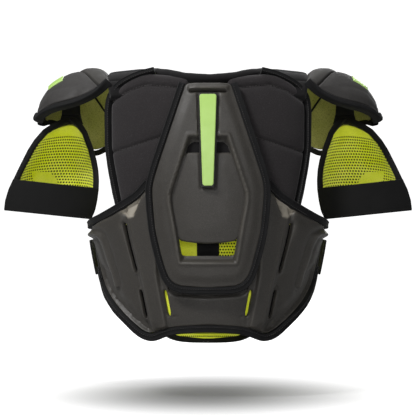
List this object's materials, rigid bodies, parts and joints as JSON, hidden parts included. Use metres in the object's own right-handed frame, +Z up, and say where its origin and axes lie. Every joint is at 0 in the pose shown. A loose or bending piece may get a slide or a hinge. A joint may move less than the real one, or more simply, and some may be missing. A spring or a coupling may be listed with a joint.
{
  "type": "hockey shoulder pads",
  "caption": "Ice hockey shoulder pads with moulded back shell, floating spine guard, swing-open front, lifting shoulder caps and hanging arm guards.",
  "frame": {"origin": "centre of the bounding box in X and Y, at the lowest point of the front hem", "axes": "+X towards the wearer's right, +Y the way the wearer faces, +Z up"},
  "size_m": [0.5866, 0.288, 0.4055],
  "materials": {
    "moulded": "matte moulded foam skin, warm dark grey",
    "fabric": "fine charcoal knit",
    "webbing": "black elastic webbing and binding tape",
    "liner": "lime perforated mesh",
    "tab": "light green moulded rubber"
  },
  "bodies": {
    "back_half": {"back_liner": "liner", "upper_pad_right": "fabric", "upper_pad_left": "fabric", "armhole_binding_right": "webbing", "armhole_binding_left": "webbing", "lower_back_shell": "moulded", "wing_foam_right": "webbing", "wing_foam_left": "webbing", "wing_band_right": "webbing", "wing_band_left": "webbing", "back_hem_binding": "webbing", "spine_strap": "webbing", "collar": "webbing", "shoulder_bridge_right": "fabric", "shoulder_bridge_left": "fabric"},
    "spine_guard": {"spine_frame": "moulded", "spine_binding": "webbing", "spine_insert": "moulded", "spine_tongue": "moulded", "spine_tab": "tab"},
    "front_half": {"front_liner": "liner", "chest_pad": "fabric", "belly_pad": "fabric", "chest_plate_right": "moulded", "chest_plate_left": "moulded", "sternum_plate": "moulded", "front_neck_binding": "webbing", "front_armhole_binding_right": "webbing", "front_armhole_binding_left": "webbing", "front_hem_binding": "webbing", "loop_patch_right": "fabric", "loop_patch_left": "fabric"},
    "side_strap_right": {"side_strap_right": "webbing", "side_strap_pull_right": "fabric"},
    "cap_right": {"cap_inner_segment_right": "moulded", "cap_shell_right": "moulded", "cap_liner_right": "liner", "cap_rim_right": "webbing", "cap_tab_right": "tab"},
    "hanger_right": {"arm_hanger_right": "webbing"},
    "arm_right": {"biceps_shell_right": "moulded", "biceps_liner_right": "liner", "biceps_binding_right": "webbing"},
    "arm_strap_right": {"arm_strap_right": "webbing", "arm_strap_hook_right": "fabric"},
    "side_strap_left": {"side_strap_left": "webbing", "side_strap_pull_left": "fabric"},
    "cap_left": {"cap_inner_segment_left": "moulded", "cap_shell_left": "moulded", "cap_liner_left": "liner", "cap_rim_left": "webbing", "cap_tab_left": "tab"},
    "hanger_left": {"arm_hanger_left": "webbing"},
    "arm_left": {"biceps_shell_left": "moulded", "biceps_liner_left": "liner", "biceps_binding_left": "webbing"},
    "arm_strap_left": {"arm_strap_left": "webbing", "arm_strap_hook_left": "fabric"}
  },
  "joints": [
    {"name": "spine_lift", "type": "hinge", "parent": "back_half", "child": "spine_guard", "pos_m": [0, -0.106, 0.38], "axis": [-1, 0, 0], "range_deg": [0, 8]},
    {"name": "front_open", "type": "hinge", "parent": "back_half", "child": "front_half", "pos_m": [0, 0.072, 0.396], "axis": [1, 0, 0], "range_deg": [0, 35]},
    {"name": "side_strap_right_open", "type": "hinge", "parent": "back_half", "child": "side_strap_right", "pos_m": [0.166, -0.008, 0.132], "axis": [0, 0, -1], "range_deg": [0, 105]},
    {"name": "cap_right_lift", "type": "hinge", "parent": "back_half", "child": "cap_right", "pos_m": [0.141, 0, 0.404], "axis": [0, -1, 0], "range_deg": [0, 35]},
    {"name": "arm_right_swing", "type": "hinge", "parent": "cap_right", "child": "hanger_right", "pos_m": [0.1995, 0.014, 0.371], "axis": [0, -1, 0], "range_deg": [0, 7]},
    {"name": "arm_right_flex", "type": "hinge", "parent": "hanger_right", "child": "arm_right", "pos_m": [0.1995, 0.014, 0.338], "axis": [1, 0, 0], "range_deg": [-20, 15]},
    {"name": "arm_strap_right_open", "type": "hinge", "parent": "arm_right", "child": "arm_strap_right", "pos_m": [0.291, -0.016, 0.22], "axis": [0, 0, 1], "range_deg": [0, 100]},
    {"name": "side_strap_left_open", "type": "hinge", "parent": "back_half", "child": "side_strap_left", "pos_m": [-0.166, -0.008, 0.132], "axis": [0, 0, 1], "range_deg": [0, 105]},
    {"name": "cap_left_lift", "type": "hinge", "parent": "back_half", "child": "cap_left", "pos_m": [-0.141, 0, 0.404], "axis": [0, 1, 0], "range_deg": [0, 35]},
    {"name": "arm_left_swing", "type": "hinge", "parent": "cap_left", "child": "hanger_left", "pos_m": [-0.1995, 0.014, 0.371], "axis": [0, 1, 0], "range_deg": [0, 7]},
    {"name": "arm_left_flex", "type": "hinge", "parent": "hanger_left", "child": "arm_left", "pos_m": [-0.1995, 0.014, 0.338], "axis": [1, 0, 0], "range_deg": [-20, 15]},
    {"name": "arm_strap_left_open", "type": "hinge", "parent": "arm_left", "child": "arm_strap_left", "pos_m": [-0.291, -0.016, 0.22], "axis": [0, 0, -1], "range_deg": [0, 100]}
  ],
  "couplings": [
    {"joint": "side_strap_right_open", "follows": "front_open", "ratio": 3},
    {"joint": "side_strap_left_open", "follows": "front_open", "ratio": 3}
  ]
}
